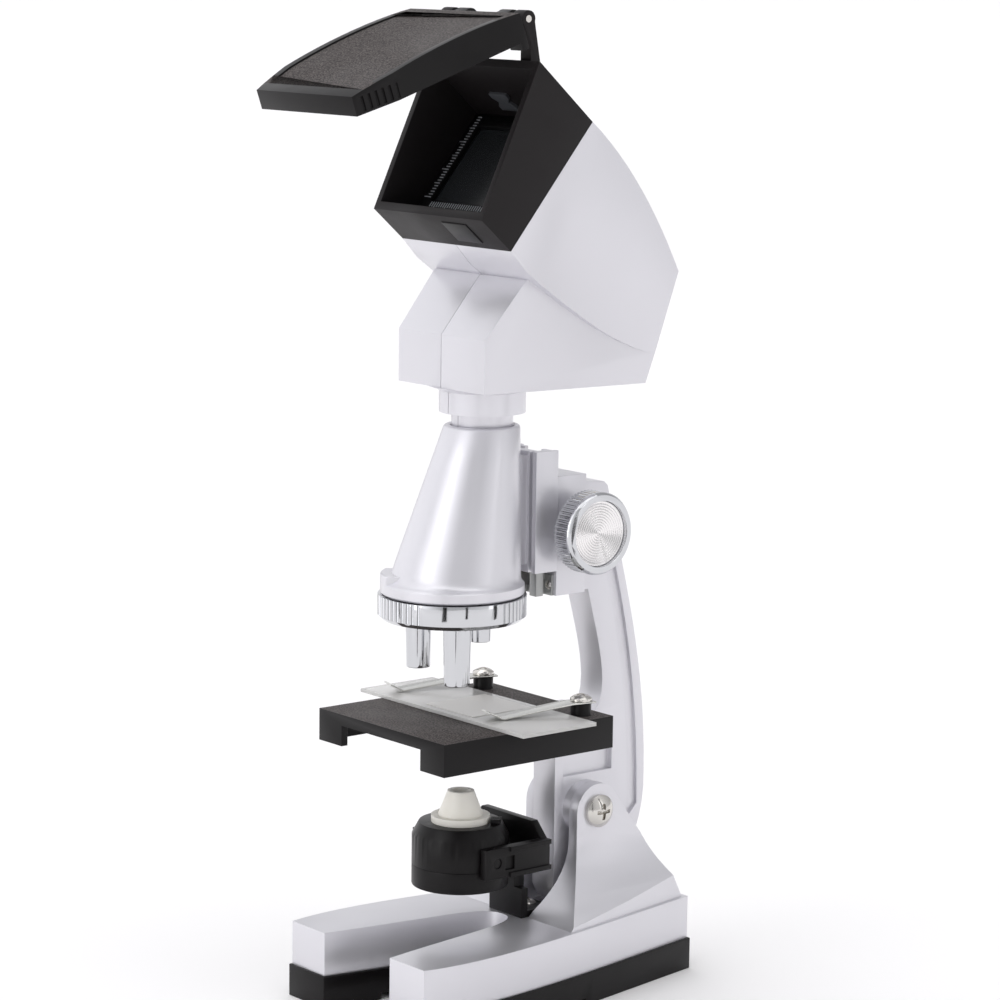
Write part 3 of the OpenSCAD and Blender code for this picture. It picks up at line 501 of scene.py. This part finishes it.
# %% Sandy faces of the lid and the stage
def sand(node, wanted):
    """Gives the faces of a moulding that wanted() picks the sandy finish."""
    mesh = softened[node].data
    mesh.materials.append(black_sand)
    picked = [face for face in mesh.polygons if wanted(face)]
    for face in picked:
        face.material_index = 1
    print("sandy faces", node, len(picked))


SIDE_BORDER, FRONT_BORDER = 2.2 * MM, 3 * MM
PANEL_END = -10 * MM  # where the lid's panel stops short of the hinge
_low, _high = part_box("lid")
sand("lid", lambda face: face.normal.z > 0.6 and face.area > 4e-6
     and abs(face.center.x) < _high.x - SIDE_BORDER
     and _low.y + FRONT_BORDER < face.center.y < PANEL_END)
sand("stage", lambda face: face.normal.z > 0.99 and face.area > 2e-5)

# %% [markdown]
# ## The ruler around the screen
# The frame of the viewing screen carries plain graduations, a millimetre apart, along its bottom
# and its left ledge, so that a specimen's size can be read off. One tick is modelled and copied,
# and the copies are joined into one moulded strip.

# %% Frames that lie on a slope of the hood
FOOTPRINT_BACK = 2.7  # the footprint's centre is this far behind the optical axis


def slope_between(start, end):
    """The slope, in radians, from one corner of the hood's side to another, each as (y, z)."""
    return math.atan2(end[1] - start[1], end[0] - start[0])


def slope_frame(at, slope):
    """A frame at a place in mm whose X is the hood's width and whose Y runs up the slope."""
    along = Vector((0, math.cos(slope), math.sin(slope)))
    out = Vector((0, -math.sin(slope), math.cos(slope)))
    return (Matrix.Translation(Vector(at) * MM)
            @ Matrix((Vector((1, 0, 0)), along, out)).transposed().to_4x4())

# %% Model one tick and copy it along two ledges
FRAME_THICK = 1.6  # of the screen's frame, so that the ticks stand on its face
_low, _high = box_mm("screen_frame")
_slope = slope_between((-10.4, 221.6), (18.8, 256.8))
_seat = slope_frame((0, _low.y, _low.z + FRAME_THICK * math.cos(_slope)), _slope)
first = box_piece("tick", (-0.14, -0.5, -0.05), (0.14, 0.5, 0.16))
bpy.ops.object.mode_set(mode="EDIT")
bpy.ops.mesh.select_all(action="SELECT")
bpy.ops.mesh.bevel(offset=0.04 * MM, segments=1)
bpy.ops.object.mode_set(mode="OBJECT")


def copy_tick(where, long, turned):
    """A tick of its own mesh, long mm long, laid across its ledge."""
    made = first.copy()
    made.data = first.data.copy()
    scene.collection.objects.link(made)
    made.matrix_world = (_seat @ Matrix.Translation(Vector(where) * MM)
                         @ Matrix.Rotation(math.radians(90 if turned else 0), 4, "Z")
                         @ Matrix.Diagonal((1, long, 1, 1)))
    return made


def tick_length(k):
    """The tens are longest, then the fives."""
    return 3.0 if k % 10 == 0 else 2.4 if k % 5 == 0 else 1.7


BOTTOM_EDGE, BOTTOM_HALF = 9.0, 17  # top of the bottom row up the slope, and half its width
LEFT_EDGE, LEFT_START, LEFT_COUNT = 3.6, 10.5, 30  # its inner ends, first tick and count
ticks = [copy_tick((k, BOTTOM_EDGE - tick_length(k) / 2, 0), tick_length(k), False)
         for k in range(-BOTTOM_HALF, BOTTOM_HALF + 1)]
ticks += [copy_tick((_low.x + LEFT_EDGE - tick_length(k) / 2, LEFT_START + k, 0), tick_length(k),
                    True) for k in range(LEFT_COUNT)]
bpy.ops.object.select_all(action="DESELECT")
for made in ticks:
    made.select_set(True)
bpy.context.view_layer.objects.active = ticks[0]
bpy.ops.object.join()
ruler = bpy.context.object
ruler.name = "screen_ruler"
bpy.ops.object.transform_apply(location=True, rotation=True, scale=True)
bpy.data.objects.remove(first)
finish_piece(ruler, "viewer", tick_grey)
print("ticks", len(ticks), "faces", len(ruler.data.polygons))

# %% [markdown]
# ## Small mouldings on the hood
# A latch tab is moulded on the hood's front slope, and a waisted clip shows on the ceiling of the
# well. The tab is a block with rounded edges. The clip is a block whose middle row of corners is
# drawn in.

# %% The latch tab and the waisted clip
def lay(piece, seat):
    """Moves a finished shape to its seat, and leaves its own origin at zero."""
    only(piece)
    piece.matrix_world = seat
    bpy.ops.object.transform_apply(location=True, rotation=True, scale=True)


tab = box_piece("hood_tab", (4, -4.2, -0.35), (15, 4.2, 0.4))
round_edges(tab, 0.2)
lay(tab, slope_frame((0, -15.65 - FOOTPRINT_BACK, 226.1),
                     slope_between((-20.9, 230.6), (-10.4, 221.6))))
finish_piece(tab, "viewer", black)
waisted = box_piece("hood_clip", (-7, -3.6, -0.5), (0.6, 3.6, 0.5))
bpy.ops.object.mode_set(mode="EDIT")
bpy.ops.mesh.select_all(action="SELECT")
bpy.ops.mesh.subdivide(number_cuts=3)
bpy.ops.mesh.select_all(action="DESELECT")
bpy.ops.object.mode_set(mode="OBJECT")
for vertex in waisted.data.vertices:
    vertex.select = abs(vertex.co.y) < 0.1 * MM
bpy.ops.object.mode_set(mode="EDIT")
bpy.ops.transform.resize(value=(0.6, 1, 1), center_override=Vector((-3.2, 0, 0)) * MM)
bpy.ops.object.mode_set(mode="OBJECT")
round_edges(waisted, 0.15, segments=2)
lay(waisted, slope_frame((0, 9.4 - FOOTPRINT_BACK, 261.4),
                         slope_between((-1.9, 271.7), (17.3, 255.0))))
finish_piece(waisted, "viewer", clip_grey)
print("hood mouldings", len(tab.data.polygons), len(waisted.data.polygons))

# %% [markdown]
# ## Table and light
# A catalogue picture like this is lit so evenly that the table runs into white, with only a soft
# shadow under the feet. A wide, soft sun gives the whole table the same brightness, however far it
# reaches. The room is brightest straight in front, middling on the left, and darkest at the back
# and on the camera's side, and that gives the silver its bands.

# %% The paper table
TABLE_SIZE = 80  # metres, so that its far edge is lost in the white
bpy.ops.object.select_all(action="DESELECT")
bpy.ops.mesh.primitive_plane_add(size=TABLE_SIZE, location=(0, 0, 0))
table = bpy.context.object
table.name = "paper_table"
paper = plain("white paper", 6, 0.02, Base_Color=linear("#FBFAFA"), Roughness=0.8,
              Specular_IOR_Level=0.1)
table.data.materials.append(paper)
print("table", tuple(table.dimensions))

# %% The soft overhead light and two panels
sun = bpy.data.lights.new("overhead_glow", "SUN")
sun.energy, sun.angle = 0.62, math.radians(60)
scene.collection.objects.link(bpy.data.objects.new("overhead_glow", sun))
PANEL_SIZE = (0.5, 1.1)
AIM = Vector((0, 0, 0.15))  # the middle of the instrument


def soft_panel(name, place, power):
    data = bpy.data.lights.new(name, "AREA")
    data.shape, data.energy = "RECTANGLE", power
    data.size, data.size_y = PANEL_SIZE
    panel = bpy.data.objects.new(name, data)
    panel.location = place
    panel.rotation_euler = (AIM - Vector(place)).to_track_quat("-Z", "Y").to_euler()
    scene.collection.objects.link(panel)


soft_panel("front_panel", (-0.12, -1.5, 0.62), 2.0)
soft_panel("right_panel", (1.5, 0.75, 0.6), 1.5)

# %% [markdown]
# Chrome shows only what stands around it, so narrow black boards, called flags, are stood around a
# set like this. They draw the thin dark lines on the lens barrels and on the turret's rim. Here
# they are seen only in reflections.

# %% Black flags
FLAG_AWAY, FLAG_TALL, FLAG_HEIGHT = 0.5, 0.52, 0.26  # metres: from the axis, tall, middle up
FLAGS = ((40, 0.05), (72, 0.03), (118, 0.06), (-35, 0.03), (-110, 0.05))  # degrees, width in m
flag_black = plain("black flag cloth", 3, 0.2, Base_Color=linear("#050505"), Roughness=0.9)
for azimuth, width in FLAGS:
    bpy.ops.object.select_all(action="DESELECT")
    bpy.ops.mesh.primitive_plane_add(size=1)
    flag = bpy.context.object
    flag.name = f"black_flag_{azimuth}".replace("-", "m")
    turn = math.radians(azimuth)
    place = (FLAG_AWAY * math.sin(turn), -FLAG_AWAY * math.cos(turn), FLAG_HEIGHT)
    flag.matrix_world = (Matrix.Translation(place) @ Matrix.Rotation(turn, 4, "Z")
                         @ Matrix.Rotation(math.radians(90), 4, "X")
                         @ Matrix.Diagonal((width, FLAG_TALL, 1, 1)))
    flag.data.materials.append(flag_black)
    flag.visible_camera = flag.visible_shadow = flag.visible_diffuse = False
    flag.visible_transmission = False
print("flags", len(FLAGS))

# %% [markdown]
# The room itself is a ring of greys. A place on it runs from 0 round to 1: both ends are straight
# in front, 0.25 is the left, 0.5 the back and 0.75 the right. The camera sees plain white instead.

# %% The pale room
WALLS = ((0.0, 1.0), (0.04, 0.98), (0.1, 0.72), (0.2, 0.75), (0.3, 0.72), (0.34, 0.6),
         (0.42, 0.42), (0.45, 0.28), (0.56, 0.42), (0.65, 0.58), (0.75, 0.5), (0.82, 0.36),
         (0.9, 0.38), (0.94, 0.6), (0.97, 0.95), (1.0, 1.0))  # place, grey
BLUER = 1.02  # the room is very slightly cool
world = bpy.data.worlds.new("pale room")
scene.world = world
world.use_nodes = True
_direction = add_node(world, "ShaderNodeTexCoord")
_split = add_node(world, "ShaderNodeSeparateXYZ", {"Vector": (_direction, "Generated")})
_turn = add_node(world, "ShaderNodeMath", {0: (_split, "X"), 1: (_split, "Y")}, operation="ARCTAN2")
_place = add_node(world, "ShaderNodeMapRange", {"Value": (_turn, "Value"), "From Min": -math.pi,
                  "From Max": math.pi})
_walls = add_node(world, "ShaderNodeValToRGB", {"Fac": (_place, "Result")})
for _k, (_at, _grey) in enumerate(WALLS):
    _stops = _walls.color_ramp.elements
    _stop = _stops[_k] if _k < 2 else _stops.new(_at)
    _stop.position, _stop.color = _at, (_grey, _grey, _grey * BLUER, 1)
_seen = add_node(world, "ShaderNodeLightPath")
_white = add_node(world, "ShaderNodeBackground", {"Color": linear("#FFFFFF"), "Strength": 1.05})
_room = world.node_tree.nodes["Background"]
_room.inputs["Strength"].default_value = 1.5
link(world, _walls, "Color", _room, "Color")
_mix = add_node(world, "ShaderNodeMixShader", {"Fac": (_seen, "Is Camera Ray"),
                1: (_room, "Background"), 2: (_white, "Background")})
link(world, _mix, "Shader", world.node_tree.nodes["World Output"], "Surface")
scene.view_settings.view_transform = "Standard"
print("room walls", len(WALLS))
